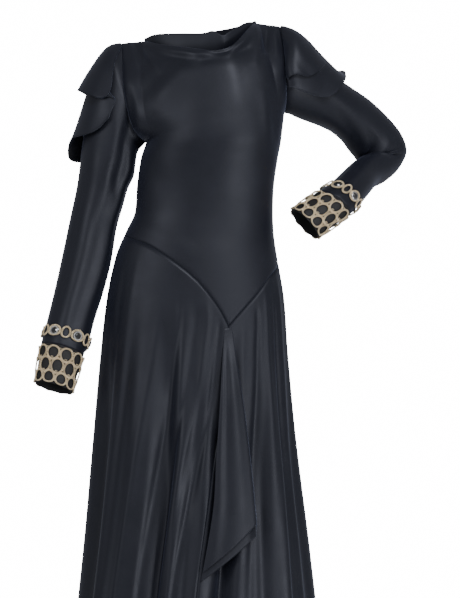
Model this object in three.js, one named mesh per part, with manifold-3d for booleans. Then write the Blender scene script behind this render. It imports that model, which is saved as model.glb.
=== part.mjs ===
import * as THREE from "three";
import { mergeVertices } from "three/addons/utils/BufferGeometryUtils.js";
import Module from "manifold-3d";

// Long-sleeved evening gown at its worn size, in millimetres. +Z is up and the front faces -Y.
// The origin is between the shoulders, where the wearer holds the gown up.
// `down` is a distance below the origin. A turn goes round the body in degrees: 0 is the side
// seam at -X, 90 the front, 180 the side seam at +X and 270 the back. An arm's angle goes round
// its sleeve: 0 is the shoulder side, 90 the front, 180 the underarm side and 270 the back.

const wasm = await Module();
wasm.setup();
const { lerp, clamp, smoothstep, degToRad, radToDeg } = THREE.MathUtils;

// Driving dimensions
const wall = 1.4; // cloth with its lining
const seamGap = 0.4; // between pieces that are sewn to each other
const hemDown = 1465; // floor-length hem
const roundness = 0.9; // under 1 makes the body's section a little squarer than an ellipse
const cuffHeight = 76; // black band under the beaded net
const cordWidth = 4.2; // gold beaded cord of the ornament
// Between the cord and the cloth's smooth form; the bent sleeve is hollow along its chain
const ringClearance = { netRight: 0.75, netLeft: 1.2, chainRight: 0.8, chainLeft: 1.8 };
const cordRise = 3.6; // how far the cord stands off the cloth
// Rings of the ornament, to the middle of their cord. A pitch is the arc from one ring to the next
// of its row, and a ring's half width is a share of it.
const net = { turns: 10, rows: 3, rowPitch: 22, ring: { share: 0.45, halfHeight: 12.5 } };
const chain = {
  turns: 6,
  above: 104, // the sleeve's hem
  ring: { share: 0.255, halfHeight: 12 },
  oval: { share: 0.165, halfHeight: 12.5 },
};
const satin = { color: 0x1b1e26, roughness: 0.42, metalness: 0 };
const band = { color: 0x0c0c0f, roughness: 0.8, metalness: 0 };
const gold = { color: 0xcbb183, roughness: 0.35, metalness: 0.85 };

// How many facets each piece has
const frontColumns = { right: 15, left: 9 }; // on the two sides of the seam's point
const bodiceRows = { lower: 6, upper: 8 }; // below and above the underarms
const shoulderColumns = { right: 4, left: 3 };
const skirtRows = 11;
const sleeveColumns = 2 * bodiceRows.upper;
const sleeveRowsPerSection = 1.3;
const cuffRows = 2;
const neckBandRows = 2;
const ringSteps = 8;

// The body's sections under the arms
const bodyRings = [
  { down: 150, left: -112, right: 157, front: -120, back: 98 },
  { down: 208, left: -120, right: 150, front: -121, back: 96 },
  { down: 240, left: -130, right: 144, front: -114, back: 92 },
  { down: 296, left: -138, right: 136, front: -104, back: 86 },
  { down: 352, left: -143, right: 134, front: -102, back: 87 },
  { down: 394, left: -163, right: 136, front: -104, back: 94 },
  { down: 436, left: -180, right: 142, front: -108, back: 104 },
  { down: 520, left: -198, right: 156, front: -114, back: 122 },
  { down: 632, left: -210, right: 164, front: -123, back: 138 },
  { down: 800, left: -224, right: 180, front: -140, back: 162 },
  { down: 1024, left: -244, right: 208, front: -164, back: 196 },
  { down: 1465, left: -294, right: 258, front: -214, back: 262 },
];
const underarmDown = { right: 208, left: 150 };

// The slanting waist seam, which comes to a low point left of the middle
const seamPoint = { x: 46, down: 574 };
const seamRight = [
  { x: -163, down: 392 },
  { x: -123, down: 410 },
  { x: -84, down: 432 },
  { x: -36, down: 466 },
  { x: 0, down: 502 },
  { x: 28, down: 540 },
  seamPoint,
];
const seamLeft = [
  seamPoint,
  { x: 64, down: 553 },
  { x: 94, down: 520 },
  { x: 127, down: 477 },
  { x: 144, down: 448 },
];
const seamBack = [
  { turn: 180, down: 448 },
  { turn: 225, down: 458 },
  { turn: 270, down: 450 },
  { turn: 315, down: 418 },
  { turn: 360, down: 392 },
];

// Armholes: eight points each, from the shoulder tip round the front to the underarm and back
const armholePoints = {
  right: [
    [-167, 5, -10],
    [-165, -26, -52],
    [-163, -46, -104],
    [-144, -42, -184],
    [-120, 0, -208],
    [-138, 44, -178],
    [-158, 56, -110],
    [-166, 36, -50],
  ],
  left: [
    [146, 5, 24],
    [154, -26, -24],
    [158, -46, -72],
    [160, -34, -124],
    [157, 0, -150],
    [156, 38, -124],
    [153, 52, -72],
    [149, 34, -18],
  ],
};

// Neckline of the front, which drapes in a soft cowl, and of the back, both from the -X side
const necklineFront = [
  [-126, 0, -7],
  [-115, -15, -9],
  [-90, -45, -18],
  [-38, -78, -28],
  [-10, -89, -33],
  [19, -95, -36],
  [44, -93, -31],
  [62, -76, -16],
  [82, -45, 10],
  [94, -20, 25],
  [104, 0, 29],
];
const necklineBack = [
  [-126, 0, -7],
  [-109, 34, -8],
  [-68, 62, -4],
  [-10, 72, 4],
  [48, 62, 14],
  [88, 36, 24],
  [104, 0, 29],
];
const bandFrontTop = [
  [-123, 1, -1],
  [-101, -25, 4],
  [-50, -50, 3],
  [-3, -62, 2],
  [14, -65, 6],
  [34, -68, -3],
  [52, -58, 8],
  [80, -29, 27],
  [100, 1, 32],
];
const bandFrontFoot = [
  [-124, 2, -8],
  [-104, -20, -20],
  [-70, -42, -34],
  [-20, -56, -42],
  [25, -60, -44],
  [58, -50, -28],
  [86, -26, 4],
  [102, 2, 27],
];
// How far the band's top edge stands from its foot behind the neck, and at its two ends
const bandBack = {
  middle: [0, -5, 14],
  right: [3, 1, 7],
  left: [-4, 1, 6],
};

// Skirt folds: a ridge where lift is over 0 and a trough where it is under. Each one runs from
// turn `top` at the waist seam to turn `hem`, and starts to show `starts` below the seam.
const skirtFolds = [
  { top: 26, hem: 20, width: 13, lift: -14, starts: 110 },
  { top: 62, hem: 47, width: 14, lift: 12, starts: 60 },
  { top: 78, hem: 66, width: 9, lift: -16, starts: 80 },
  { top: 86, hem: 76, width: 8, lift: 10, starts: 40 },
  { top: 97, hem: 86, width: 6, lift: 9, starts: 60 },
  { top: 112, hem: 94, width: 7, lift: -27, starts: 10 },
  { top: 126, hem: 122, width: 10, lift: -8, starts: 140 },
  { top: 138, hem: 134, width: 12, lift: 12, starts: 60 },
  { top: 162, hem: 160, width: 12, lift: -9, starts: 160 },
  { top: 196, hem: 198, width: 13, lift: -15, starts: 120 },
  { top: 216, hem: 220, width: 14, lift: 14, starts: 90 },
  { top: 236, hem: 240, width: 11, lift: -17, starts: 90 },
  { top: 256, hem: 258, width: 13, lift: 13, starts: 70 },
  { top: 274, hem: 276, width: 11, lift: -18, starts: 80 },
  { top: 292, hem: 294, width: 13, lift: 13, starts: 70 },
  { top: 312, hem: 313, width: 12, lift: -15, starts: 100 },
  { top: 334, hem: 334, width: 14, lift: 12, starts: 110 },
];
const foldGrowth = 330; // how far below its start a fold has its whole depth

// The seam between the two front skirt panels, in the deep trough behind the cascade
const panelSeam = [
  { x: 46, down: 574 },
  { x: 36, down: 700 },
  { x: 16, down: 844 },
  { x: -6, down: 1004 },
  { x: -18, down: 1104 },
  { x: -40, down: 1465 },
];

// The cascade that hangs from the seam's point: an upper leg, and an under leg folded behind it
const cascadeEdges = [
  { down: 577, left: 38, right: 52 },
  { down: 640, left: 33, right: 61 },
  { down: 727, left: 28, right: 75 },
  { down: 833, left: 21, right: 88 },
  { down: 911, left: 17, right: 96 },
  { down: 975, left: 8, right: 101 },
  { down: 1061, left: -8, right: 101 },
];
const cascadeHem = { upperLeft: 1045, upperRight: 955, underRight: 976, underLeft: 1064 };
// Depths in front of the skirt's form, which grow from the top over a share of the fall
const cascadeDepth = {
  under: { top: 0.6, hem: 9 },
  between: { top: 3.4, hem: 8 }, // from the under leg to the upper leg
  atFold: 0.8, // share of that depth at the fold between the legs
  bulge: 3, // of the upper leg's middle
  growsOver: 0.35,
};
const cascadeColumns = 5; // on each leg
const cascadeRows = 9;

// Sleeve sections after the armhole, down to the hem. (x, z) are where the section's outer and
// inner ends lie, y its middle and depth half its size from front to back.
const sleeveRings = {
  right: [
    { ox: -196, oz: -23, ix: -136, iz: -226, y: 6, depth: 56 },
    { ox: -220, oz: -72, ix: -141, iz: -251, y: 6, depth: 60 },
    { ox: -238, oz: -140, ix: -145, iz: -276, y: 8, depth: 60 },
    { ox: -249, oz: -220, ix: -157, iz: -302, y: 10, depth: 57 },
    { ox: -258, oz: -290, ix: -166, iz: -334, y: 11, depth: 54 },
    { ox: -272, oz: -358, ix: -179, iz: -380, y: 8, depth: 52 },
    { ox: -285, oz: -425, ix: -189, iz: -446, y: -4, depth: 50 },
    { ox: -297, oz: -486, ix: -203, iz: -505, y: -18, depth: 48 },
    { ox: -309, oz: -542, ix: -220, iz: -562, y: -34, depth: 46 },
    { ox: -319, oz: -586, ix: -231, iz: -608, y: -47, depth: 44 },
    { ox: -325, oz: -612, ix: -241, iz: -634, y: -55, depth: 43 },
    { ox: -334, oz: -686, ix: -262, iz: -706, y: -76, depth: 38 },
  ],
  left: [
    { ox: 172, oz: 12, ix: 168, iz: -152, y: 6, depth: 57 },
    { ox: 195, oz: -6, ix: 184, iz: -158, y: 18, depth: 58 },
    { ox: 222, oz: -36, ix: 208, iz: -165, y: 37, depth: 57 },
    { ox: 254, oz: -66, ix: 232, iz: -172, y: 58, depth: 55 },
    { ox: 292, oz: -89, ix: 256, iz: -182, y: 80, depth: 53 },
    { ox: 333, oz: -113, ix: 278, iz: -198, y: 104, depth: 51 },
    { ox: 374, oz: -147, ix: 294, iz: -217, y: 128, depth: 50 },
    { ox: 403, oz: -180, ix: 306, iz: -229, y: 146, depth: 49 },
    { ox: 415, oz: -214, ix: 312, iz: -240, y: 153, depth: 48 },
    { ox: 404, oz: -240, ix: 306, iz: -248, y: 144, depth: 48 },
    { ox: 382, oz: -260, ix: 296, iz: -254, y: 126, depth: 48 },
    { ox: 354, oz: -280, ix: 284, iz: -260, y: 102, depth: 47 },
    { ox: 332, oz: -306, ix: 266, iz: -275, y: 68, depth: 46 },
    { ox: 308, oz: -334, ix: 245, iz: -294, y: 34, depth: 44 },
    { ox: 282, oz: -357, ix: 218, iz: -311, y: 4, depth: 42 },
    { ox: 222, oz: -400, ix: 171, iz: -345, y: -24, depth: 38 },
  ],
};

// Flounces, from the front edge round the outside to the back edge. The cloth is sewn into the
// armhole at the angle `top`, falls to a fold, tucks back under it and falls again to the hem.
// Places along the sleeve are in sections of its table, and lifts are distances off the sleeve.
// A low flare gives a round bulge above the fold, and a high one a fold that stands out.
function flounceTable(...rows) {
  return rows.map(([top, fold, tuck, end, flare], at) => ({ at, top, fold, tuck, end, flare }));
}

function fall(angle, place, lift) {
  return { angle, place, lift };
}

const flounces = {
  right: flounceTable(
    [16, fall(72, 1.75, 12), fall(84, 1.5, 3), fall(84, 2.3, 8), 1.4],
    [10, fall(66, 2.05, 14), fall(72, 1.65, 3), fall(74, 2.9, 9), 1.6],
    [4, fall(54, 2.3, 16), fall(56, 1.85, 3.5), fall(60, 3.3, 10), 1.8],
    [-2, fall(34, 2.5, 18), fall(34, 2.0, 3.5), fall(38, 3.6, 13), 2],
    [-12, fall(6, 2.6, 24), fall(6, 2.05, 4), fall(8, 3.85, 22), 2],
    [-28, fall(-22, 2.55, 22), fall(-22, 2.0, 4), fall(-22, 4.3, 27), 2],
    [-50, fall(-50, 2.4, 18), fall(-50, 1.9, 3.5), fall(-50, 4.2, 14), 2],
    [-76, fall(-78, 2.3, 20), fall(-78, 1.8, 4), fall(-78, 3.9, 18), 2],
    [-100, fall(-104, 2.1, 14), fall(-104, 1.7, 3), fall(-104, 3.6, 8), 2],
  ),
  left: flounceTable(
    [84, fall(103, 0.5, 9), fall(97, 0.4, 2), fall(114, 0.55, 3), 0.8],
    [74, fall(96, 1.0, 13), fall(86, 0.85, 2.5), fall(113, 1.4, 5), 0.8],
    [62, fall(93, 1.6, 13), fall(82, 1.45, 2.5), fall(111, 2.2, 7), 0.8],
    [50, fall(87, 2.1, 11), fall(79, 2.05, 3), fall(105, 2.9, 8), 0.8],
    [36, fall(74, 2.5, 8), fall(72, 2.6, 5), fall(95, 3.4, 9), 0.8],
    [22, fall(54, 2.9, 7), fall(58, 3.1, 6.5), fall(78, 3.8, 9), 0.8],
    [8, fall(28, 3.3, 8), fall(32, 3.55, 8), fall(48, 4.2, 9), 0.7],
    [-8, fall(0, 3.6, 9), fall(3, 3.9, 9), fall(12, 4.5, 11), 0.6],
    [-32, fall(-26, 3.4, 10), fall(-25, 3.7, 11), fall(-18, 4.5, 24), 0.7],
    [-58, fall(-58, 2.4, 14), fall(-58, 1.95, 3), fall(-56, 3.8, 14), 1.6],
    [-86, fall(-88, 1.9, 12), fall(-88, 1.5, 2.5), fall(-90, 3.0, 6), 1.6],
  ),
};
const squareSections = 4; // the first sections stay nearly square to the armhole
const sectionLean = { right: 1, left: 0.5 }; // how far sections turn with the arm's depth
const armholeGap = 0.5; // from the armhole's edge to the sleeve
const flounceColumns = 13;
const flounceTop = 0.16; // place of the sewn edge
// From the sleeve to the flounce's inner face, at the sewn edges and under them
const flounceClear = { right: 0.9, left: 1.5, below: 1.8 };
const foldDrop = 0.5; // share of the way in to the tuck that the fold's edge falls
const hemFlare = 2.6; // how late the cloth below the tuck turns out to its hem
// Rows of a flounce's sheet: stage 0 falls to the fold, 1 is the fold's edge, 2 tucks back, and 3
// falls to the hem
const flounceRows = [
  { stage: 0, t: 0 },
  { stage: 0, t: 0.29 },
  { stage: 0, t: 0.58 },
  { stage: 0, t: 0.83 },
  { stage: 1, t: 0 },
  { stage: 2, t: 0 },
  { stage: 3, t: 0 },
  { stage: 3, t: 0.4 },
  { stage: 3, t: 0.75 },
  { stage: 3, t: 1 },
];

// A table's row at the place `at` of its column `key`, on smooth curves through the rows.
function rowAt(rows, key, at) {
  const last = rows.length - 1;
  let i = 0;
  while (i < last - 1 && at > rows[i + 1][key]) i += 1;
  const near = [rows[Math.max(i - 1, 0)], rows[i], rows[i + 1], rows[Math.min(i + 2, last)]];
  const span = near[2][key] - near[1][key];
  const t = clamp((at - near[1][key]) / span, 0, 1);
  const row = {};
  for (const name of Object.keys(rows[0])) {
    const slopeIn = (near[2][name] - near[0][name]) / (near[2][key] - near[0][key]);
    const slopeOut = (near[3][name] - near[1][name]) / (near[3][key] - near[1][key]);
    const straight = lerp(near[1][name], near[2][name], t);
    const rise = (near[2][name] - near[1][name]) / span;
    const bend = (slopeIn - rise) * (1 - t) - (slopeOut - rise) * t;
    row[name] = straight + bend * t * (1 - t) * span;
  }
  row[key] = at;
  return row;
}

// The value of a smooth curve through four numbers, between the middle two.
function throughFour(a, b, c, d, t) {
  const slopeIn = (c - a) / 2;
  const slopeOut = (d - b) / 2;
  const bend = (slopeIn - (c - b)) * (1 - t) - (slopeOut - (c - b)) * t;
  return lerp(b, c, t) + bend * t * (1 - t);
}

function curveThrough(points, closed = false) {
  const vectors = points.map(([x, y, z]) => new THREE.Vector3(x, y, z));
  return new THREE.CatmullRomCurve3(vectors, closed, "centripetal");
}

// The body's form

function bodyPoint(turn, down) {
  const { left, right, front, back } = rowAt(bodyRings, "down", down);
  const across = Math.cos(degToRad(turn));
  const deep = Math.sin(degToRad(turn));
  const reach = (Math.sign(across) * Math.abs(across) ** roundness * (right - left)) / 2;
  const depth = (deep > 0 ? front : back) * Math.abs(deep) ** roundness;
  return new THREE.Vector3((left + right) / 2 - reach, depth, -down);
}

// The turn on the front at which the body has the width x.
function turnOf(x, down) {
  const { left, right } = rowAt(bodyRings, "down", down);
  const across = clamp((left + right - 2 * x) / (right - left), -1, 1);
  return radToDeg(Math.acos(Math.sign(across) * Math.abs(across) ** (1 / roundness)));
}

function seamTable(points) {
  return points.map(({ x, down }) => ({ turn: turnOf(x, down), down }));
}

const seamTables = { right: seamTable(seamRight), left: seamTable(seamLeft), back: seamBack };
const pointTurn = turnOf(seamPoint.x, seamPoint.down);
const panelSeamTurns = seamTable(panelSeam);

function seamDown(turn) {
  if (turn > 180) return rowAt(seamTables.back, "turn", turn).down;
  const side = turn < pointTurn ? "right" : "left";
  return rowAt(seamTables[side], "turn", turn).down;
}

function underarmLine(turn) {
  const across = (1 - Math.cos(degToRad(turn))) / 2;
  return lerp(underarmDown.right, underarmDown.left, across);
}

// Turns of the front's columns, with one on the seam's point, and of the back's columns.
const armholeReach = 6; // the higher, the nearer to its armhole a chest's edge curve fades out
const columnCount = frontColumns.right + frontColumns.left;
const neckColumns = columnCount - shoulderColumns.right - shoulderColumns.left;
const frontTurns = [];
for (let i = 0; i <= columnCount; i += 1) {
  const past = i - frontColumns.right;
  if (past <= 0) frontTurns.push((pointTurn * i) / frontColumns.right);
  else frontTurns.push(lerp(pointTurn, 180, past / frontColumns.left));
}
const backTurns = frontTurns.map((_, i) => 180 + (180 * i) / columnCount);

// A wall of cloth. pointAt(i, j) gives its outer face on a grid of columns and rows; outward is
// away from the middle of the piece, and the inner face lies one thickness inside. acrossSeam(i, j)
// names the axes that cross a seam at an edge, so that the thickness doesn't lean over it.
function clothGeometry(columns, rows, pointAt, { closed = false, acrossSeam = () => [] } = {}) {
  const count = closed ? columns : columns + 1;
  const grid = [];
  const middle = new THREE.Vector3();
  for (let i = 0; i < count; i += 1) {
    grid.push([]);
    for (let j = 0; j <= rows; j += 1) {
      grid[i].push(pointAt(i, j));
      middle.addScaledVector(grid[i][j], 1 / (count * (rows + 1)));
    }
  }
  const column = (i) => (closed ? grid[(i + count) % count] : grid[clamp(i, 0, columns)]);
  const normals = [];
  let outward = 0;
  for (let i = 0; i < count; i += 1) {
    for (let j = 0; j <= rows; j += 1) {
      const across = column(i + 1)[j].clone().sub(column(i - 1)[j]);
      const along = grid[i][Math.min(j + 1, rows)].clone().sub(grid[i][Math.max(j - 1, 0)]);
      const normal = across.cross(along);
      for (const axis of acrossSeam(i, j)) normal[axis] = 0;
      normal.normalize();
      outward += normal.dot(grid[i][j].clone().sub(middle));
      normals.push(normal);
    }
  }
  const inset = -Math.sign(outward) * wall;
  const outer = grid.flat();
  const inner = outer.map((point, k) => point.clone().addScaledVector(normals[k], inset));
  const outerAt = (i, j) => (closed ? i % count : i) * (rows + 1) + j;
  const innerAt = (i, j) => outerAt(i, j) + outer.length;
  const faces = [];
  const quad = (a, b, c, d) => faces.push(a, b, c, a, c, d);
  for (let i = 0; i < columns; i += 1) {
    for (let j = 0; j < rows; j += 1) {
      quad(outerAt(i, j), outerAt(i + 1, j), outerAt(i + 1, j + 1), outerAt(i, j + 1));
      quad(innerAt(i, j), innerAt(i, j + 1), innerAt(i + 1, j + 1), innerAt(i + 1, j));
    }
    quad(outerAt(i, 0), innerAt(i, 0), innerAt(i + 1, 0), outerAt(i + 1, 0));
    quad(outerAt(i, rows), outerAt(i + 1, rows), innerAt(i + 1, rows), innerAt(i, rows));
  }
  for (let j = 0; !closed && j < rows; j += 1) {
    quad(outerAt(0, j), outerAt(0, j + 1), innerAt(0, j + 1), innerAt(0, j));
    quad(outerAt(columns, j + 1), outerAt(columns, j), innerAt(columns, j), innerAt(columns, j + 1));
  }
  if (outward < 0) faces.reverse();
  return meshGeometry([...outer, ...inner], faces);
}

function meshGeometry(points, faces) {
  const geometry = new THREE.BufferGeometry().setFromPoints(points);
  geometry.setIndex(faces);
  return geometry;
}

const gown = new THREE.Group();

function addPiece(name, geometry, look) {
  const mesh = new THREE.Mesh(geometry, new THREE.MeshStandardMaterial(look));
  mesh.name = name;
  gown.add(mesh);
  return mesh;
}

// Bodice: a front and a back from the waist seam to the shoulders

const armholes = {
  right: curveThrough(armholePoints.right, true),
  left: curveThrough(armholePoints.left, true),
};

function armholePoint(side, angle) {
  const curve = armholes[side];
  const place = (((angle / 360) % 1) + 1) % 1;
  return curve.getPoint(place);
}

// The bodice's top edge from the -X shoulder tip: shoulder seam, neckline, shoulder seam.
function topEdge(neckline) {
  const { right, left } = shoulderColumns;
  const neck = curveThrough(neckline).getSpacedPoints(neckColumns);
  const edge = [];
  for (let i = 0; i < right; i += 1) edge.push(armholePoint("right", 0).lerp(neck[0], i / right));
  edge.push(...neck);
  for (let i = left - 1; i >= 0; i -= 1)
    edge.push(armholePoint("left", 0).lerp(neck[neckColumns], i / left));
  return edge;
}

// A patch between the underarm line and the top edge that follows both armholes.
function chestPoint(panel, i, rise) {
  const turn = panel.turns[i];
  const span = (1 - Math.cos(degToRad((turn - panel.turns[0]) % 360))) / 2;
  const foot = bodyPoint(turn, underarmLine(turn));
  const point = foot.lerp(panel.top[i], rise);
  point.addScaledVector(curving(panel.start, rise), (1 - span) ** armholeReach);
  point.addScaledVector(curving(panel.end, rise), span ** armholeReach);
  point.y += panel.fullness * Math.sin(Math.PI * rise) * Math.sin(Math.PI * span);
  return point;
}

// How far an edge curve leaves the straight line between its two ends.
function curving(edge, rise) {
  return edge(rise).sub(edge(0).lerp(edge(1), rise));
}

function bodicePoint(panel, i, j) {
  const { lower, upper } = bodiceRows;
  if (j > lower) return chestPoint(panel, i, (j - lower) / upper);
  const turn = panel.turns[i];
  return bodyPoint(turn, lerp(seamDown(turn), underarmLine(turn), j / lower));
}

const frontPanel = {
  turns: frontTurns,
  top: topEdge(necklineFront),
  start: (rise) => armholePoint("right", 180 - 180 * rise),
  end: (rise) => armholePoint("left", 180 - 180 * rise),
  fullness: -5,
};
const backPanel = {
  turns: backTurns,
  top: topEdge(necklineBack).reverse(),
  start: (rise) => armholePoint("left", 180 + 180 * rise),
  end: (rise) => armholePoint("right", 180 + 180 * rise),
  fullness: 8,
};

function addBodice(name, panel, side) {
  const rows = bodiceRows.lower + bodiceRows.upper;
  const [first, last] = side < 0 ? ["right", "left"] : ["left", "right"];
  const neckStart = shoulderColumns[first];
  const neckEnd = columnCount - shoulderColumns[last];
  const acrossSeam = (i, j) => {
    const axes = j === 0 ? ["z"] : [];
    const atSide = (i === 0 || i === columnCount) && j <= bodiceRows.lower;
    const atShoulder = j === rows && (i <= neckStart || i >= neckEnd);
    return atSide || atShoulder ? [...axes, "y"] : axes;
  };
  const geometry = clothGeometry(columnCount, rows, (i, j) => bodicePoint(panel, i, j), { acrossSeam });
  addPiece(name, geometry, satin).position.y = (side * seamGap) / 2;
}

addBodice("bodice_front", frontPanel, -1);
addBodice("bodice_back", backPanel, 1);

// Neck band: stands up from the back neckline and hangs inside the front's cowl

function addNeckBand() {
  const half = neckColumns;
  const frontTop = curveThrough(bandFrontTop).getSpacedPoints(half);
  const frontFoot = curveThrough(bandFrontFoot).getSpacedPoints(half);
  const backFoot = curveThrough(necklineBack).getSpacedPoints(half);
  const middle = new THREE.Vector3(...bandBack.middle);
  const ends = {
    right: new THREE.Vector3(...bandBack.right),
    left: new THREE.Vector3(...bandBack.left),
  };
  const pointAt = (i, j) => {
    const rise = j / neckBandRows;
    if (i <= half) return frontFoot[i].clone().lerp(frontTop[i], rise);
    const k = 2 * half - i;
    const stand = ends.right.clone().lerp(ends.left, k / half);
    stand.lerp(middle, Math.sin((Math.PI * k) / half));
    const foot = backFoot[k].clone().setZ(backFoot[k].z + 2 * seamGap);
    return foot.addScaledVector(stand, rise);
  };
  addPiece("neck_band", clothGeometry(2 * half, neckBandRows, pointAt, { closed: true }), satin);
}

addNeckBand();

// Skirt: two front panels and a back, each following the body's form with its folds

function bump(distance) {
  return Math.abs(distance) < 1 ? (1 + Math.cos(Math.PI * distance)) / 2 : 0;
}

function foldLift(turn, down) {
  const below = down - seamDown(turn);
  let lift = 0;
  for (const { top, hem, width, lift: height, starts } of skirtFolds) {
    const middle = lerp(top, hem, smoothstep(down, seamPoint.down, hemDown));
    const away = Math.abs(((turn - middle + 540) % 360) - 180);
    lift += height * bump(away / width) * smoothstep(below, starts, starts + foldGrowth);
  }
  return lift;
}

function skirtPoint(turn, down) {
  const point = bodyPoint(turn, down);
  const { left, right } = rowAt(bodyRings, "down", down);
  const outward = new THREE.Vector3(point.x - (left + right) / 2, point.y, 0).normalize();
  return point.addScaledVector(outward, foldLift(turn, down));
}

// The front's columns lean with the panel seam, so that both panels end on it.
function leaningTurn(turn, down) {
  const seam = rowAt(panelSeamTurns, "down", Math.max(down, seamPoint.down)).turn;
  if (turn <= pointTurn) return (turn * seam) / pointTurn;
  return 180 - ((180 - turn) * (180 - seam)) / (180 - pointTurn);
}

function addSkirt(name, turns, shiftX, shiftY) {
  const pointAt = (i, j) => {
    const down = lerp(seamDown(turns[i]), hemDown, j / skirtRows);
    const turn = turns[i] > 180 ? turns[i] : leaningTurn(turns[i], down);
    return skirtPoint(turn, down);
  };
  const last = turns.length - 1;
  const acrossSeam = (i, j) => {
    const axes = j === 0 ? ["z"] : [];
    if (i > 0 && i < last) return axes;
    return [...axes, turns[i] % 180 === 0 ? "y" : "x"];
  };
  const geometry = clothGeometry(last, skirtRows, pointAt, { acrossSeam });
  addPiece(name, geometry, satin).position.set(shiftX, shiftY, -seamGap);
}

const halfGap = seamGap / 2;
addSkirt("skirt_front_right", frontTurns.slice(0, frontColumns.right + 1), -halfGap, -halfGap);
addSkirt("skirt_front_left", frontTurns.slice(frontColumns.right), halfGap, -halfGap);
addSkirt("skirt_back", backTurns, 0, halfGap);

// Cascade: one folded sheet in front of the panel seam

function addCascade() {
  const top = cascadeEdges[0].down;
  const columns = 2 * cascadeColumns;
  const pointAt = (i, j) => {
    const upper = i <= cascadeColumns;
    const across = upper ? i / cascadeColumns : 2 - i / cascadeColumns;
    const leftHem = upper ? cascadeHem.upperLeft : cascadeHem.underLeft;
    const rightHem = upper ? cascadeHem.upperRight : cascadeHem.underRight;
    const fall = j / cascadeRows;
    const down = lerp(top, lerp(leftHem, rightHem, across), fall);
    const edges = rowAt(cascadeEdges, "down", down);
    const x = lerp(edges.left, edges.right, across);
    const ground = bodyPoint(turnOf(x, down), down);
    const { under, between, atFold, bulge, growsOver } = cascadeDepth;
    const grown = smoothstep(fall, 0, growsOver);
    ground.y -= lerp(under.top, under.hem, grown);
    if (!upper) return ground;
    ground.y -= lerp(between.top, between.hem, grown) * (i < cascadeColumns ? 1 : atFold);
    ground.y -= bulge * grown * Math.sin(Math.PI * across);
    return ground;
  };
  addPiece("cascade", clothGeometry(columns, cascadeRows, pointAt), satin);
}

addCascade();

// Sleeves, cuffs and flounces all follow the arm's sections

function sectionFrames(side) {
  const rings = sleeveRings[side];
  const outers = rings.map(({ ox, oz, y }) => new THREE.Vector3(ox, y, oz));
  const inners = rings.map(({ ix, iz, y }) => new THREE.Vector3(ix, y, iz));
  const middles = outers.map((outer, k) => outer.clone().lerp(inners[k], 0.5));
  return rings.map(({ depth }, k) => {
    const wide = outers[k].clone().sub(inners[k]).multiplyScalar(0.5);
    const next = middles[Math.min(k + 1, rings.length - 1)];
    const along = next.clone().sub(middles[Math.max(k - 1, 0)]);
    along.y *= Math.min((k + 1) / squareSections, 1) * sectionLean[side];
    const front = along.cross(wide).normalize();
    if (front.y > 0) front.negate();
    return { middle: middles[k], wide, front: front.multiplyScalar(depth) };
  });
}

const frames = { right: sectionFrames("right"), left: sectionFrames("left") };

function sectionPoint(side, angle, section) {
  if (section <= 0) return armholePoint(side, angle);
  const list = frames[side];
  const { middle, wide, front } = list[Math.min(section, list.length) - 1];
  const point = middle.clone().addScaledVector(wide, Math.cos(degToRad(angle)));
  return point.addScaledVector(front, Math.sin(degToRad(angle)));
}

// A point of the sleeve's outer face. The armhole is place 0, and table row n is place n.
function sleevePoint(side, angle, place) {
  const k = clamp(Math.floor(place), 0, frames[side].length - 1);
  const [a, b, c, d] = [k - 1, k, k + 1, k + 2].map((n) => sectionPoint(side, angle, n));
  const t = place - k;
  return new THREE.Vector3(
    throughFour(a.x, b.x, c.x, d.x, t),
    throughFour(a.y, b.y, c.y, d.y, t),
    throughFour(a.z, b.z, c.z, d.z, t),
  );
}

function sleeveNormal(side, angle, place) {
  const step = { angle: 4, place: 0.1 };
  const near = Math.min(place, frames[side].length - step.place);
  const before = sleevePoint(side, angle, Math.max(near - step.place, 0));
  const along = sleevePoint(side, angle, near + step.place).sub(before);
  const round = sleevePoint(side, angle + step.angle, near);
  round.sub(sleevePoint(side, angle - step.angle, near));
  const normal = round.cross(along).normalize();
  const outward = sleevePoint(side, angle, near).sub(sleevePoint(side, angle + 180, near));
  return normal.dot(outward) < 0 ? normal.negate() : normal;
}

// The place on the sleeve at a distance above its hem, along its middle.
function placeAbove(side, above) {
  const list = frames[side];
  let left = above;
  for (let k = list.length - 1; k > 0; k -= 1) {
    const step = list[k].middle.distanceTo(list[k - 1].middle);
    if (left <= step) return k + 1 - left / step;
    left -= step;
  }
  return 1;
}

function addSleeve(name, side) {
  const end = placeAbove(side, cuffHeight + seamGap);
  const rows = Math.round(sleeveRowsPerSection * end);
  const pointAt = (i, j) => {
    const angle = (360 * i) / sleeveColumns;
    const place = (end * j) / rows;
    const point = sleevePoint(side, angle, place);
    if (j > 0) return point;
    const away = sleevePoint(side, angle, end / rows).sub(point).normalize();
    return point.addScaledVector(away, armholeGap);
  };
  addPiece(name, clothGeometry(sleeveColumns, rows, pointAt, { closed: true }), satin);
}

function addCuff(name, side) {
  const start = placeAbove(side, cuffHeight);
  const end = frames[side].length;
  const pointAt = (i, j) => {
    const place = lerp(start, end, j / cuffRows);
    return sleevePoint(side, (360 * i) / sleeveColumns, place);
  };
  addPiece(name, clothGeometry(sleeveColumns, cuffRows, pointAt, { closed: true }), band);
}

// A flounce's table row between two of its rows.
function flounceRow(side, at) {
  const rows = flounces[side];
  const row = rowAt(rows.map(({ at, top, flare }) => ({ at, top, flare })), "at", at);
  for (const stop of ["fold", "tuck", "end"])
    row[stop] = rowAt(rows.map((each) => ({ at: each.at, ...each[stop] })), "at", at);
  return row;
}

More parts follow.
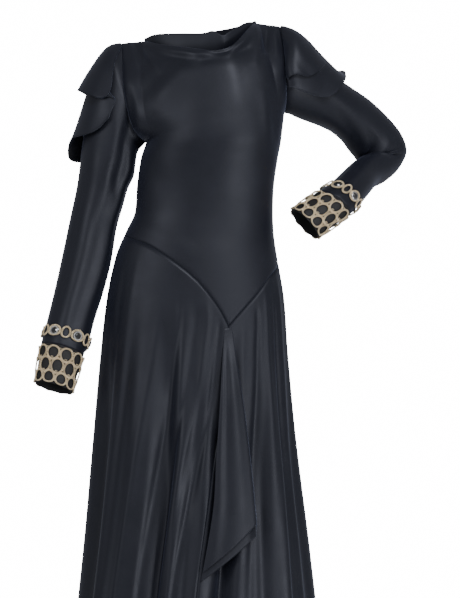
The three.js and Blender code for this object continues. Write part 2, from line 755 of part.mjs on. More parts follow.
function addFlounce(name, side) {
  const lastRow = flounces[side].length - 1;
  const pointAt = (i, j) => {
    const { top, fold, tuck, end, flare } = flounceRow(side, (lastRow * i) / flounceColumns);
    const edge = fall(fold.angle, fold.place, lerp(fold.lift, tuck.lift, foldDrop));
    const stops = [fall(top, flounceTop, 0), fold, edge, tuck, end];
    const { stage, t } = flounceRows[j];
    const [from, to] = stops.slice(stage, stage + 2);
    const round = stage === 0 ? Math.sin((Math.PI / 2) * t) : t;
    const rise = [t ** flare, t, t, t ** hemFlare][stage];
    const angle = lerp(from.angle, to.angle, round);
    const place = lerp(from.place, to.place, t);
    const lift = lerp(from.lift, to.lift, rise);
    const clear = wall + (j === 0 ? flounceClear[side] : flounceClear.below);
    const point = sleevePoint(side, angle, place);
    return point.addScaledVector(sleeveNormal(side, angle, place), clear + lift);
  };
  addPiece(name, clothGeometry(flounceColumns, flounceRows.length - 1, pointAt), satin);
}

addSleeve("sleeve_right", "right");
addSleeve("sleeve_left", "left");
addCuff("cuff_right", "right");
addCuff("cuff_left", "left");
addFlounce("flounce_right", "right");
addFlounce("flounce_left", "left");

// Gold ornament: rings of beaded cord that touch each other and are joined to one body

function asSolid(geometry) {
  const merged = mergeVertices(geometry, 1e-4);
  const mesh = new wasm.Mesh({
    numProp: 3,
    vertProperties: merged.attributes.position.array,
    triVerts: new Uint32Array(merged.index.array),
  });
  return new wasm.Manifold(mesh);
}

function fromSolid(solid) {
  const { numProp, vertProperties, triVerts } = solid.getMesh();
  const geometry = new THREE.BufferGeometry();
  const positions = new Float32Array((vertProperties.length / numProp) * 3);
  for (let k = 0; k < positions.length / 3; k += 1)
    positions.set(vertProperties.subarray(numProp * k, numProp * k + 3), 3 * k);
  geometry.setAttribute("position", new THREE.BufferAttribute(positions, 3));
  geometry.setIndex(Array.from(triVerts));
  return geometry;
}

// A ring lying on the sleeve. Its cord's section is a low triangle on the cloth.
function ringOnSleeve(side, angle, above, pitch, { share, halfHeight }, clearance) {
  const halfAngle = share * pitch;
  const place = placeAbove(side, above);
  const before = sleevePoint(side, angle - 1, place);
  const degreeLength = sleevePoint(side, angle + 1, place).distanceTo(before) / 2;
  const cordAngle = cordWidth / 2 / degreeLength;
  const loops = [
    { grow: -1, rise: 0 },
    { grow: 1, rise: 0 },
    { grow: 0, rise: cordRise },
  ];
  const points = [];
  for (let k = 0; k < ringSteps; k += 1) {
    const round = (2 * Math.PI * k) / ringSteps;
    for (const { grow, rise } of loops) {
      const at = angle + (halfAngle + grow * cordAngle) * Math.cos(round);
      const height = above + (halfHeight + (grow * cordWidth) / 2) * Math.sin(round);
      const spot = placeAbove(side, height);
      const point = sleevePoint(side, at, spot);
      points.push(point.addScaledVector(sleeveNormal(side, at, spot), clearance + rise));
    }
  }
  const faces = [];
  for (let k = 0; k < ringSteps; k += 1) {
    const next = (k + 1) % ringSteps;
    for (let n = 0; n < 3; n += 1) {
      const m = (n + 1) % 3;
      faces.push(3 * k + n, 3 * next + n, 3 * next + m, 3 * k + n, 3 * next + m, 3 * k + m);
    }
  }
  const solid = asSolid(meshGeometry(points, faces));
  return solid.volume() > 0 ? solid : asSolid(meshGeometry(points, faces.reverse()));
}

function joinAll(solids) {
  return solids.reduce((whole, solid) => whole.add(solid));
}

function addNet(name, side, clearance) {
  const pitch = 360 / net.turns;
  const rings = [];
  for (let row = 0; row < net.rows; row += 1) {
    const above = cordWidth / 2 + net.ring.halfHeight + seamGap + row * net.rowPitch;
    const stagger = (row % 2) / 2;
    for (let n = 0; n < net.turns; n += 1)
      rings.push(ringOnSleeve(side, (n + stagger) * pitch, above, pitch, net.ring, clearance));
  }
  addPiece(name, fromSolid(joinAll(rings)), gold);
}

function addChain(name, side, clearance) {
  const pitch = 360 / chain.turns;
  const links = [];
  for (let n = 0; n < chain.turns; n += 1) {
    links.push(ringOnSleeve(side, n * pitch, chain.above, pitch, chain.ring, clearance));
    links.push(ringOnSleeve(side, (n + 0.5) * pitch, chain.above, pitch, chain.oval, clearance));
  }
  addPiece(name, fromSolid(joinAll(links)), gold);
}

addNet("ring_net_right", "right", ringClearance.netRight);
addNet("ring_net_left", "left", ringClearance.netLeft);
addChain("ring_chain_right", "right", ringClearance.chainRight);
addChain("ring_chain_left", "left", ringClearance.chainLeft);

export default gown;
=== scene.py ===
import math
import random
import bpy
import bmesh
from mathutils import Matrix, Vector


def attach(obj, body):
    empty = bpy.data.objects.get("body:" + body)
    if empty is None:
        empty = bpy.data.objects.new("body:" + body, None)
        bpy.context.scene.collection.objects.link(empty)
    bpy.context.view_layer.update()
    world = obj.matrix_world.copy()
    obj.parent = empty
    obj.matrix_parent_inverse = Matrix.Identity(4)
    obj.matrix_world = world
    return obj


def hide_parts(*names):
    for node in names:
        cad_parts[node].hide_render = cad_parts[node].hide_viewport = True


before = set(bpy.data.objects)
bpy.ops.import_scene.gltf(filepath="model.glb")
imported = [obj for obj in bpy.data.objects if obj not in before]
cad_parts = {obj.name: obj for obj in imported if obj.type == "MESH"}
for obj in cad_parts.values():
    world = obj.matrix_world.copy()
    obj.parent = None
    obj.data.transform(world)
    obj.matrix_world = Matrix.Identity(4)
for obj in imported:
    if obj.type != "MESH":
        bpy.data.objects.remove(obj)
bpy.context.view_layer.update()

# Bodice front
# Black-navy satin with a lining, cut in one piece from the slanting waist seam to the shoulders.
# Its neckline is cut long, so that the edge falls forward in a soft cowl.

MM = 0.001  # the gown's sizes are in millimetres, and Blender's in metres
WALL = 1.4  # satin with its lining
SEAM_GAP = 0.4
HEM_DOWN = 1465
ROUNDNESS = 0.9


def table(columns, *rows):
    return [dict(zip(columns.split(), row)) for row in rows]


BODY_RINGS = table(
    "down left right front back",
    (150, -112, 157, -120, 98),
    (208, -120, 150, -121, 96),
    (240, -130, 144, -114, 92),
    (296, -138, 136, -104, 86),
    (352, -143, 134, -102, 87),
    (394, -163, 136, -104, 94),
    (436, -180, 142, -108, 104),
    (520, -198, 156, -114, 122),
    (632, -210, 164, -123, 138),
    (800, -224, 180, -140, 162),
    (1024, -244, 208, -164, 196),
    (1465, -294, 258, -214, 262),
)
UNDERARM_DOWN = {"right": 208, "left": 150}
SEAM_RIGHT = ((-163, 392), (-123, 410), (-84, 432), (-36, 466), (0, 502), (28, 540), (46, 574))
SEAM_LEFT = ((46, 574), (64, 553), (94, 520), (127, 477), (144, 448))
SEAM_BACK = table("turn down", (180, 448), (225, 458), (270, 450), (315, 418), (360, 392))
ARMHOLES = {
    "right": (
        (-167, 5, -10), (-165, -26, -52), (-163, -46, -104), (-144, -42, -184),
        (-120, 0, -208), (-138, 44, -178), (-158, 56, -110), (-166, 36, -50),
    ),
    "left": (
        (146, 5, 24), (154, -26, -24), (158, -46, -72), (160, -34, -124),
        (157, 0, -150), (156, 38, -124), (153, 52, -72), (149, 34, -18),
    ),
}
NECKLINE_FRONT = (
    (-126, 0, -7), (-115, -15, -9), (-90, -45, -18), (-38, -78, -28), (-10, -89, -33), (19, -95, -36),
    (44, -93, -31), (62, -76, -16), (82, -45, 10), (94, -20, 25), (104, 0, 29),
)
SHOULDER_SHARE = {"right": 4 / 24, "left": 3 / 24}  # of the top edge
LOWER_SHARE = 6 / 14  # of the bodice's rows, under the arms
SEWN_EDGE = 0.04  # share of a sheet over which creases die away at its side seams
SEWN_ROW = 0.03  # the same at its top and bottom edges
POINT_DOWN = SEAM_LEFT[0][1]
ARMHOLE_REACH = 6


def lerp(a, b, t):
    return a + (b - a) * t


def clamp(x, low=0.0, high=1.0):
    return min(max(x, low), high)


def smoothstep(x, low, high):
    t = clamp((x - low) / (high - low))
    return t * t * (3 - 2 * t)


def row_at(rows, key, at):
    """A table's row at the place `at` of its column `key`, on smooth curves through the rows."""
    last = len(rows) - 1
    i = 0
    while i < last - 1 and at > rows[i + 1][key]:
        i += 1
    near = (rows[max(i - 1, 0)], rows[i], rows[i + 1], rows[min(i + 2, last)])
    span = near[2][key] - near[1][key]
    t = clamp((at - near[1][key]) / span)
    row = {}
    for name in rows[0]:
        slope_in = (near[2][name] - near[0][name]) / (near[2][key] - near[0][key])
        slope_out = (near[3][name] - near[1][name]) / (near[3][key] - near[1][key])
        rise = (near[2][name] - near[1][name]) / span
        bend = (slope_in - rise) * (1 - t) - (slope_out - rise) * t
        row[name] = lerp(near[1][name], near[2][name], t) + bend * t * (1 - t) * span
    row[key] = at
    return row


def curve_point(points, place, closed=False):
    """A point on the smooth curve through points, with place from 0 to 1 along them."""
    count = len(points)
    spans = count if closed else count - 1
    at = (place % 1.0 if closed else clamp(place)) * spans
    k = min(int(at), spans - 1)
    t = at - k

    def pick(n):
        if closed:
            return Vector(points[n % count])
        if n < 0:
            return Vector(points[0]) * 2 - Vector(points[1])
        if n >= count:
            return Vector(points[-1]) * 2 - Vector(points[-2])
        return Vector(points[n])

    a, b, c, d = (pick(k + n) for n in (-1, 0, 1, 2))
    before, within, after = (max(math.sqrt(v.length), 1e-4) for v in (b - a, c - b, d - c))
    slope_in = ((b - a) / before - (c - a) / (before + within) + (c - b) / within) * within
    slope_out = ((c - b) / within - (d - b) / (within + after) + (d - c) / after) * within
    cubic = b * 2 - c * 2 + slope_in + slope_out
    square = (c - b) * 3 - slope_in * 2 - slope_out
    return ((cubic * t + square) * t + slope_in) * t + b


def evenly(points, count):
    """count + 1 points spaced evenly along the smooth curve through points."""
    fine = [curve_point(points, n / 400) for n in range(401)]
    lengths = [0.0]
    for a, b in zip(fine, fine[1:]):
        lengths.append(lengths[-1] + (b - a).length)
    spaced = []
    k = 0
    for n in range(count + 1):
        goal = lengths[-1] * n / count
        while k < 399 and lengths[k + 1] < goal:
            k += 1
        t = clamp((goal - lengths[k]) / (lengths[k + 1] - lengths[k]))
        spaced.append(fine[k].lerp(fine[k + 1], t))
    return spaced


def body_point(turn, down):
    """The body's outer form. Turns are degrees: 0 is the side at -X, 90 the front, 270 the back."""
    row = row_at(BODY_RINGS, "down", down)
    across = math.cos(math.radians(turn))
    deep = math.sin(math.radians(turn))
    reach = math.copysign(abs(across) ** ROUNDNESS, across) * (row["right"] - row["left"]) / 2
    depth = (row["front"] if deep > 0 else row["back"]) * abs(deep) ** ROUNDNESS
    return Vector(((row["left"] + row["right"]) / 2 - reach, depth, -down))


def turn_of(x, down):
    """The turn on the front at which the body has the width x."""
    row = row_at(BODY_RINGS, "down", down)
    across = clamp((row["left"] + row["right"] - 2 * x) / (row["right"] - row["left"]), -1, 1)
    return math.degrees(math.acos(math.copysign(abs(across) ** (1 / ROUNDNESS), across)))


def by_turn(points):
    return [{"turn": turn_of(x, down), "down": down} for x, down in points]


SEAM_TABLES = {"right": by_turn(SEAM_RIGHT), "left": by_turn(SEAM_LEFT), "back": SEAM_BACK}
POINT_TURN = SEAM_TABLES["left"][0]["turn"]


def seam_down(turn):
    if turn > 180:
        return row_at(SEAM_TABLES["back"], "turn", turn)["down"]
    return row_at(SEAM_TABLES["right" if turn < POINT_TURN else "left"], "turn", turn)["down"]


def underarm_line(turn):
    across = (1 - math.cos(math.radians(turn))) / 2
    return lerp(UNDERARM_DOWN["right"], UNDERARM_DOWN["left"], across)


def armhole_point(side, angle):
    return curve_point(ARMHOLES[side], angle / 360, closed=True)


def top_edge(neckline, columns):
    """The bodice's top edge from the -X shoulder tip: shoulder seam, neckline, shoulder seam."""
    first = round(SHOULDER_SHARE["right"] * columns)
    last = round(SHOULDER_SHARE["left"] * columns)
    tip_right = armhole_point("right", 0)
    tip_left = armhole_point("left", 0)
    edge = [tip_right.lerp(Vector(neckline[0]), n / first) for n in range(first)]
    edge += evenly(neckline, columns - first - last)
    edge += [Vector(neckline[-1]).lerp(tip_left, n / last) for n in range(1, last + 1)]
    return edge


def chest_point(foot, top, span, rise, start, end, fullness):
    """Between the underarm line and the top edge, following both armholes."""
    point = foot.lerp(top, rise)
    for edge, share in ((start, 1 - span), (end, span)):
        straight = edge(0).lerp(edge(1), rise)
        point += (edge(rise) - straight) * share ** ARMHOLE_REACH
    point.y += fullness * math.sin(math.pi * rise) * math.sin(math.pi * span)
    return point


def creases_at(creases, a, b):
    """How far the cloth stands out at (a, b): ridges over 0, troughs under it. Each crease runs
    from (a0, b0) to (a1, b1) and dies away at its ends."""
    lift = 0.0
    for row in creases:
        along = Vector((row["a1"] - row["a0"], row["b1"] - row["b0"]))
        away = Vector((a - row["a0"], b - row["b0"]))
        place = clamp(away.dot(along) / along.length_squared)
        gap = (away - along * place).length / row["width"]
        if gap < 2.5:
            ends = math.sin(math.pi * clamp(0.08 + 0.84 * place)) ** 0.6
            lift += row["lift"] * ends * math.exp(-gap * gap)
    return lift


def cloth(name, columns, rows, point_at, closed=False, crease_at=None):
    """A sheet of cloth with a real thickness. point_at(u, v) gives its outer face in mm."""
    bm = bmesh.new()
    bmesh.ops.create_grid(bm, x_segments=columns, y_segments=rows, size=1.0)
    weave = bm.loops.layers.uv.new("weave")
    places = {vert: ((vert.co.x + 1) / 2, (vert.co.y + 1) / 2) for vert in bm.verts}
    for vert, (u, v) in places.items():
        vert.co = point_at(u, v) * MM
    middle = sum((vert.co for vert in bm.verts), Vector()) / len(bm.verts)
    bm.normal_update()
    if sum(vert.normal.dot(vert.co - middle) for vert in bm.verts) < 0:
        bmesh.ops.reverse_faces(bm, faces=bm.faces)
        bm.normal_update()
    if crease_at:
        lifts = {vert: vert.normal * crease_at(*places[vert]) * MM for vert in bm.verts}
        for vert, lift in lifts.items():
            vert.co += lift
    width = sum((point_at(n / 12, 0.5) - point_at((n + 1) / 12, 0.5)).length for n in range(12)) * MM
    length = sum((point_at(0.5, n / 12) - point_at(0.5, (n + 1) / 12)).length for n in range(12)) * MM
    for face in bm.faces:
        face.smooth = True
        for loop in face.loops:
            u, v = places[loop.vert]
            loop[weave].uv = (u * width, v * length)
    if closed:
        bmesh.ops.remove_doubles(bm, verts=bm.verts, dist=0.00002)
    mesh = bpy.data.meshes.new(name)
    bm.to_mesh(mesh)
    bm.free()
    piece = bpy.data.objects.new(name, mesh)
    bpy.context.collection.objects.link(piece)
    shell = piece.modifiers.new("cloth thickness", "SOLIDIFY")
    shell.thickness = WALL * MM
    shell.offset = -1
    shell.use_even_offset = False
    return piece


def new_material(name, base, roughness, metallic=0.0):
    material = bpy.data.materials.new(name)
    material.use_nodes = True
    shader = material.node_tree.nodes["Principled BSDF"]
    shader.inputs["Base Color"].default_value = (*base, 1)
    shader.inputs["Roughness"].default_value = roughness
    shader.inputs["Metallic"].default_value = metallic
    return material, shader


def make_satin():
    """Satin: a fine weave along the cloth's own UV, a soft sheen, and a faint uneven gloss."""
    material, shader = new_material("black-navy satin", (0.0080, 0.0095, 0.0135), 0.4)
    shader.inputs["Sheen Weight"].default_value = 0.16
    shader.inputs["Sheen Roughness"].default_value = 0.4
    shader.inputs["Sheen Tint"].default_value = (0.58, 0.66, 1.0, 1)
    shader.inputs["Specular IOR Level"].default_value = 0.4
    shader.inputs["Specular Tint"].default_value = (0.84, 0.87, 1.0, 1)
    nodes = material.node_tree.nodes
    links = material.node_tree.links
    uv = nodes.new("ShaderNodeUVMap")
    uv.uv_map = "weave"
    threads = nodes.new("ShaderNodeTexWave")
    threads.wave_type = "BANDS"
    threads.bands_direction = "DIAGONAL"
    threads.inputs["Scale"].default_value = 620
    threads.inputs["Distortion"].default_value = 0.6
    links.new(uv.outputs["UV"], threads.inputs["Vector"])
    place = nodes.new("ShaderNodeTexCoord")
    rumple = nodes.new("ShaderNodeTexNoise")
    rumple.inputs["Scale"].default_value = 16
    rumple.inputs["Detail"].default_value = 3
    links.new(place.outputs["Object"], rumple.inputs["Vector"])
    gloss = nodes.new("ShaderNodeMapRange")
    gloss.inputs["From Min"].default_value = 0.3
    gloss.inputs["From Max"].default_value = 0.7
    gloss.inputs["To Min"].default_value = 0.44
    gloss.inputs["To Max"].default_value = 0.54
    links.new(rumple.outputs["Fac"], gloss.inputs["Value"])
    links.new(gloss.outputs["Result"], shader.inputs["Roughness"])
    tint = nodes.new("ShaderNodeMixRGB")
    tint.inputs["Color1"].default_value = (0.0036, 0.0043, 0.0080, 1)
    tint.inputs["Color2"].default_value = (0.0056, 0.0065, 0.0115, 1)
    links.new(rumple.outputs["Fac"], tint.inputs["Fac"])
    links.new(tint.outputs["Color"], shader.inputs["Base Color"])
    soft = nodes.new("ShaderNodeBump")
    soft.inputs["Strength"].default_value = 0.35
    soft.inputs["Distance"].default_value = 0.0016
    links.new(rumple.outputs["Fac"], soft.inputs["Height"])
    fine = nodes.new("ShaderNodeBump")
    fine.inputs["Strength"].default_value = 0.12
    fine.inputs["Distance"].default_value = 0.00008
    links.new(threads.outputs["Fac"], fine.inputs["Height"])
    links.new(soft.outputs["Normal"], fine.inputs["Normal"])
    links.new(fine.outputs["Normal"], shader.inputs["Normal"])
    return material


satin = make_satin()


def sew(piece, material, replaced):
    piece.data.materials.append(material)
    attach(piece, "root")
    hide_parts(replaced)


# Soft folds of the front, as seen from in front: (a, b) is (x, down)
FRONT_CREASES = table(
    "a0 b0 a1 b1 width lift",
    (-158, -2, -138, 60, 6, 2.0),
    (-150, -2, -112, 64, 7, -2.4),
    (-138, -2, -92, 72, 8, 2.6),
    (-122, 24, -34, 52, 11, -4.5),
    (-36, 58, -98, 138, 20, 3.6),
    (-84, 74, -140, 130, 20, -2.4),
    (106, -18, 98, 56, 9, 3.0),
    (122, -18, 118, 34, 6, -3.6),
    (136, -20, 140, 36, 6, 2.6),
    (-4, 52, 80, 30, 10, -6.5),
    (-40, 78, 96, 62, 16, 2.0),
    (114, 122, 124, 200, 10, 2.4),
    (136, 130, 140, 230, 10, -2.6),
    (-152, 110, -142, 186, 8, -2.6),
    (-104, 150, -116, 240, 18, -1.6),
    (-120, 250, -60, 330, 20, -1.2),
    (110, 240, 60, 330, 22, -1.2),
    (-150, 372, -40, 420, 14, 1.2),
)
FRONT_COLUMNS = 120
FRONT_ROWS = 126
FRONT_FULLNESS = -5
COWL_ROLL = {"lift": 4.5, "row": 0.955, "width": 0.03}
SEAM_DIP = {"depth": 0.4, "width": 3}  # cloth drawn in where it is sewn
ALLOWANCE = {"down": 3, "under": 0.9}  # of the bodice, turned in behind the skirt
front_top = top_edge(NECKLINE_FRONT, FRONT_COLUMNS)


def front_point(u, v):
    turn = 180 * u
    if v <= LOWER_SHARE:
        down = lerp(seam_down(turn), underarm_line(turn), v / LOWER_SHARE)
        down += ALLOWANCE["down"] * (v == 0)
        return body_point(turn, down) - Vector((0, SEAM_GAP / 2, 0))
    rise = (v - LOWER_SHARE) / (1 - LOWER_SHARE)
    span = (1 - math.cos(math.radians(turn))) / 2
    foot = body_point(turn, underarm_line(turn))
    top = front_top[round(u * FRONT_COLUMNS)]
    point = chest_point(
        foot, top, span, rise,
        lambda t: armhole_point("right", 180 - 180 * t),
        lambda t: armhole_point("left", 180 - 180 * t),
        FRONT_FULLNESS,
    )
    return point - Vector((0, SEAM_GAP / 2, 0))


def seam_dip(away):
    return SEAM_DIP["depth"] * math.exp(-((away / SEAM_DIP["width"]) ** 2))


def front_crease(u, v):
    point = front_point(u, v)
    inside = clamp(min(u, 1 - u) / SEWN_EDGE) * clamp(v / SEWN_ROW)
    lift = creases_at(FRONT_CREASES, point.x, -point.z) * inside
    middle = clamp((u - 0.2) / 0.15) * clamp((0.86 - u) / 0.12)
    away = (v - COWL_ROLL["row"]) / COWL_ROLL["width"]
    lift += COWL_ROLL["lift"] * middle * math.exp(-(away ** 2))
    dip = seam_dip(seam_down(180 * u) + point.z) + ALLOWANCE["under"] * (v == 0)
    return lift * clamp((1 - v) / 0.02 + 0.3) - dip


bodice_front = cloth("bodice_front_satin", FRONT_COLUMNS, FRONT_ROWS, front_point, crease_at=front_crease)
sew(bodice_front, satin, "bodice_front")

# Bodice back
# The same satin, cut plainly, with the waist seam dipping a little in the middle.
# It meets the front at the side seams and the shoulders.

NECKLINE_BACK = (
    (-126, 0, -7), (-109, 34, -8), (-68, 62, -4), (-10, 72, 4), (48, 62, 14), (88, 36, 24), (104, 0, 29),
)
BACK_COLUMNS = 96
BACK_ROWS = 98
BACK_FULLNESS = 8
back_top = top_edge(NECKLINE_BACK, BACK_COLUMNS)[::-1]
BACK_CREASES = table(
    "a0 b0 a1 b1 width lift",
    (-100, 60, -60, 190, 18, -3.0),
    (90, 40, 60, 180, 18, -3.0),
    (-30, 300, 70, 330, 14, 2.6),
    (-80, 330, 40, 352, 12, -2.4),
    (-60, 372, 90, 384, 13, 2.4),
    (-20, 80, 10, 240, 26, -2.6),
)


def back_point(u, v):
    turn = 180 + 180 * u
    if v <= LOWER_SHARE:
        down = lerp(seam_down(turn), underarm_line(turn), v / LOWER_SHARE)
        down += ALLOWANCE["down"] * (v == 0)
        return body_point(turn, down) + Vector((0, SEAM_GAP / 2, 0))
    rise = (v - LOWER_SHARE) / (1 - LOWER_SHARE)
    point = chest_point(
        body_point(turn, underarm_line(turn)),
        back_top[round(u * BACK_COLUMNS)],
        (1 - math.cos(math.pi * u)) / 2,
        rise,
        lambda t: armhole_point("left", 180 + 180 * t),
        lambda t: armhole_point("right", 180 + 180 * t),
        BACK_FULLNESS,
    )
    return point + Vector((0, SEAM_GAP / 2, 0))


def back_crease(u, v):
    point = back_point(u, v)
    inside = clamp(min(u, 1 - u) / SEWN_EDGE) * clamp(v / SEWN_ROW) * clamp((1 - v) / SEWN_ROW)
    dip = seam_dip(seam_down(180 + 180 * u) + point.z) + ALLOWANCE["under"] * (v == 0)
    return creases_at(BACK_CREASES, point.x, -point.z) * inside - dip


bodice_back = cloth("bodice_back_satin", BACK_COLUMNS, BACK_ROWS, back_point, crease_at=back_crease)
sew(bodice_back, satin, "bodice_back")

# Neck band
# A bias strip of the same satin. It stands up a little behind the neck and hangs inside the
# cowl in front, where its top edge shows over the drape.

BAND_FRONT_TOP = (
    (-123, 1, -1), (-101, -25, 4), (-50, -50, 3), (-3, -62, 2), (14, -65, 6), (34, -68, -3),
    (52, -58, 8), (80, -29, 27), (100, 1, 32),
)
BAND_FRONT_FOOT = (
    (-124, 2, -8), (-104, -20, -20), (-70, -42, -34), (-20, -56, -42), (25, -60, -44), (58, -50, -28),
    (86, -26, 4), (102, 2, 27),
)
BAND_BACK = {"middle": Vector((0, -5, 14)), "right": Vector((3, 1, 7)), "left": Vector((-4, 1, 6))}
BAND_HALF = 68
band_top = evenly(BAND_FRONT_TOP, BAND_HALF)
band_foot = evenly(BAND_FRONT_FOOT, BAND_HALF)
band_back_foot = evenly(NECKLINE_BACK, BAND_HALF)


def band_point(u, v):
    i = round(u * 2 * BAND_HALF) % (2 * BAND_HALF)
    if i <= BAND_HALF:
        bulge = Vector((0, -3, 0)) * math.sin(math.pi * v) * math.sin(math.pi * i / BAND_HALF)
        return band_foot[i].lerp(band_top[i], v) + bulge
    k = 2 * BAND_HALF - i
    stand = BAND_BACK["right"].lerp(BAND_BACK["left"], k / BAND_HALF)
    stand = stand.lerp(BAND_BACK["middle"], math.sin(math.pi * k / BAND_HALF))
    return band_back_foot[k] + Vector((0, 0, 2 * SEAM_GAP)) + stand * v


neck_band = cloth("neck_band_satin", 2 * BAND_HALF, 14, band_point, closed=True)
sew(neck_band, satin, "neck_band")

# Skirt
# Three flared satin panels that hang from the waist seam in soft folds. The two front panels
# meet in a deep trough that starts at the seam's point.

SKIRT_FOLDS = table(
    "top hem width lift starts",
    (26, 20, 13, -14, 110),
    (62, 47, 14, 12, 60),
    (78, 66, 9, -16, 80),
    (86, 76, 8, 10, 40),
    (97, 86, 6, 9, 60),
    (112, 94, 7, -27, 10),
    (126, 122, 10, -8, 140),
    (138, 134, 12, 12, 60),
    (162, 160, 12, -9, 160),
    (196, 198, 13, -15, 120),
    (216, 220, 14, 14, 90),
    (236, 240, 11, -17, 90),
    (256, 258, 13, 13, 70),
    (274, 276, 11, -18, 80),
    (292, 294, 13, 13, 70),
    (312, 313, 12, -15, 100),
    (334, 334, 14, 12, 110),
)
FOLD_GROWTH = 330
PANEL_SEAM = by_turn(((46, 574), (36, 700), (16, 844), (-6, 1004), (-18, 1104), (-40, 1465)))


def fold_lift(turn, down):
    below = down - seam_down(turn)
    lift = 0.0
    for fold in SKIRT_FOLDS:
        middle = lerp(fold["top"], fold["hem"], smoothstep(down, POINT_DOWN, HEM_DOWN))
        away = abs((turn - middle + 540) % 360 - 180) / fold["width"]
        if away < 1:
            grown = smoothstep(below, fold["starts"], fold["starts"] + FOLD_GROWTH)
            lift += fold["lift"] * grown * (1 + math.cos(math.pi * away)) / 2
    return lift


def skirt_point(turn, down):
    point = body_point(turn, down)
    row = row_at(BODY_RINGS, "down", down)
    outward = Vector((point.x - (row["left"] + row["right"]) / 2, point.y, 0)).normalized()
    return point + outward * fold_lift(turn, down)


def leaning_turn(turn, down):
    seam = row_at(PANEL_SEAM, "down", max(down, POINT_DOWN))["turn"]
    if turn <= POINT_TURN:
        return turn * seam / POINT_TURN
    return 180 - (180 - turn) * (180 - seam) / (180 - POINT_TURN)


def skirt_panel(name, first, last, columns, rows, shift, creases):
    def point_at(u, v):
        turn = lerp(first, last, u)
        down = lerp(seam_down(turn), HEM_DOWN, v)
        leaned = turn if first >= 180 else leaning_turn(turn, down)
        return skirt_point(leaned, down) + Vector(shift) - Vector((0, 0, SEAM_GAP))

    def crease_at(u, v):
        turn = lerp(first, last, u)
        down = lerp(seam_down(turn), HEM_DOWN, v)
        edge = clamp(min(u, 1 - u) / SEWN_EDGE) * clamp(v / SEWN_EDGE)
        return creases_at(creases, turn, down / 10) * edge - seam_dip(down - seam_down(turn))

    return cloth(name, columns, rows, point_at, crease_at=crease_at)


# Smaller folds between the large ones: (a, b) is (turn, down / 10)
RIGHT_PANEL_CREASES = table(
    "a0 b0 a1 b1 width lift",
    (12, 46, 8, 120, 3, 2.5),
    (36, 50, 30, 146, 4, -3.0),
    (48, 48, 40, 146, 4, 2.5),
    (70, 60, 60, 146, 2.6, 3.0),
    (83, 54, 74, 146, 2.0, -4.0),
    (91, 56, 83, 146, 2.0, -5.0),
    (97, 54, 88, 146, 1.8, 4.0),
    (104, 58, 95, 146, 1.6, -4.5),
)
LEFT_PANEL_CREASES = table(
    "a0 b0 a1 b1 width lift",
    (119, 60, 112, 146, 3, 3.0),
    (131, 56, 127, 146, 2.2, -5.0),
    (140, 52, 137, 146, 2.6, 4.0),
    (150, 54, 148, 146, 2.2, -4.5),
    (158, 50, 156, 146, 3, 3.0),
    (170, 52, 170, 146, 3, 2.0),
)
BACK_PANEL_CREASES = table(
    "a0 b0 a1 b1 width lift",
    (206, 52, 208, 146, 3, 3.0),
    (226, 56, 229, 146, 3, -3.0),
    (246, 54, 249, 146, 3, 3.5),
    (265, 60, 267, 146, 3, -3.5),
    (283, 52, 285, 146, 3, 3.0),
    (302, 54, 304, 146, 3, -3.0),
    (323, 50, 324, 146, 3, 3.0),
    (346, 50, 348, 146, 3, -3.0),
)
half = SEAM_GAP / 2
skirt_front_right = skirt_panel(
    "skirt_front_right_satin", 0, POINT_TURN, 110, 110, (-half, -half, 0), RIGHT_PANEL_CREASES
)
skirt_front_left = skirt_panel(
    "skirt_front_left_satin", POINT_TURN, 180, 80, 110, (half, -half, 0), LEFT_PANEL_CREASES
)
skirt_back = skirt_panel("skirt_back_satin", 180, 360, 140, 110, (0, half, 0), BACK_PANEL_CREASES)
sew(skirt_front_right, satin, "skirt_front_right")
sew(skirt_front_left, satin, "skirt_front_left")
sew(skirt_back, satin, "skirt_back")

# Cascade
# A folded satin drape that hangs from the point of the waist seam over the trough. Its hem
# slants up to a tip, and a second layer shows under it.

CASCADE_EDGES = table(
    "down left right",
    (577, 38, 52),
    (640, 33, 61),
    (727, 28, 75),
    (833, 21, 88),
    (911, 17, 96),
    (975, 8, 101),
    (1061, -8, 101),
)
CASCADE_START = 577
CASCADE_HEM = {"upper_left": 1045, "upper_right": 955, "under_right": 976, "under_left": 1064}


def cascade_point(u, v):
    upper = u <= 0.5
    across = 2 * u if upper else 2 - 2 * u
    left = CASCADE_HEM["upper_left" if upper else "under_left"]
    right = CASCADE_HEM["upper_right" if upper else "under_right"]
    down = lerp(CASCADE_START, lerp(left, right, across), v)
    edges = row_at(CASCADE_EDGES, "down", down)
    x = lerp(edges["left"], edges["right"], across)
    ground = body_point(turn_of(x, down), down)
    spread = smoothstep(v, 0, 0.35)
    under = lerp(-1.8, 9, spread)
    between = lerp(1.9, 8, spread) * smoothstep(5.5 - 10 * u, -0.5, 0.9)
    ground.y -= under + between + 3 * spread * math.sin(math.pi * across) * (1 if upper else 0)
    return ground


CASCADE_CREASES = table(
    "a0 b0 a1 b1 width lift",
    (0.04, 0.1, 0.08, 1.0, 0.050, 1.6),
    (0.14, 0.1, 0.17, 1.0, 0.060, -1.8),
    (0.30, 0.15, 0.34, 1.0, 0.090, 2.0),
)


def cascade_crease(u, v):
    return creases_at(CASCADE_CREASES, u, v) * smoothstep(v, 0.02, 0.25)


cascade = cloth("cascade_satin", 80, 90, cascade_point, crease_at=cascade_crease)
sew(cascade, satin, "cascade")

# Sleeves
# Long narrow satin sleeves. The wearer's right one hangs with long drag folds, and the left one
# is bent, with creases across the inside of its elbow.

